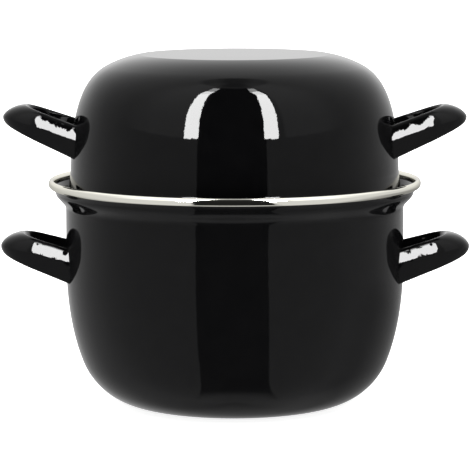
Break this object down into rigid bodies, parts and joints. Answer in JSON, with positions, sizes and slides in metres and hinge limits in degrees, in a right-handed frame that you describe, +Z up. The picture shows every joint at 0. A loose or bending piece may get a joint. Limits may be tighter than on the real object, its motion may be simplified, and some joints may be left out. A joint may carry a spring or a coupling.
{
  "type": "mussel pot",
  "caption": "Black enamelled mussel pot with a deep domed lid, a steel rim and looped handles on pot and lid.",
  "frame": {"origin": "centre of the flat base, on the table", "axes": "+Z up the axis of the pot, +X towards the right handles, -Y towards the viewer"},
  "size_m": [0.3018, 0.2392, 0.2252],
  "materials": {
    "enamel": "high gloss black enamel on pressed steel",
    "rim_steel": "polished stainless steel"
  },
  "bodies": {
    "root": {"pot_body": "enamel", "pot_rim": "rim_steel", "pot_handle_left": "enamel", "pot_handle_right": "enamel", "lid_body": "enamel", "lid_handle_left": "enamel", "lid_handle_right": "enamel"}
  },
  "joints": []
}
